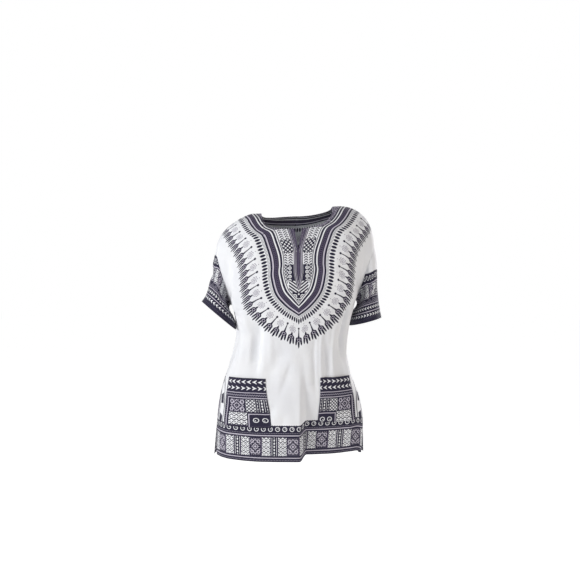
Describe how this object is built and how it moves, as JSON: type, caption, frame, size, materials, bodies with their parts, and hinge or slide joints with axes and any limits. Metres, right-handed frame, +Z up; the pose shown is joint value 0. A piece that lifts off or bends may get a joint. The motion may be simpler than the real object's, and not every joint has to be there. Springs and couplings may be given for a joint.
{
  "type": "dashiki shirt",
  "caption": "Loose pullover shirt with a slit boat neck, short wide sleeves, patch pockets and printed borders, in its worn, hollow form.",
  "frame": {"origin": "middle of the neck opening on the line of the shoulders, where the wearer holds the shirt up", "axes": "+Z up, the front faces -Y, and +X is the shirt's own left"},
  "size_m": [0.5412, 0.2943, 0.7447],
  "materials": {
    "front_cotton": "matt printed cotton",
    "back_cotton": "matt printed cotton",
    "sleeve_cotton": "matt printed cotton",
    "pocket_cotton": "matt printed cotton"
  },
  "bodies": {
    "root": {"front": "front_cotton", "back": "back_cotton", "sleeve_left": "sleeve_cotton", "sleeve_right": "sleeve_cotton", "pocket_left": "pocket_cotton", "pocket_right": "pocket_cotton"}
  },
  "joints": []
}
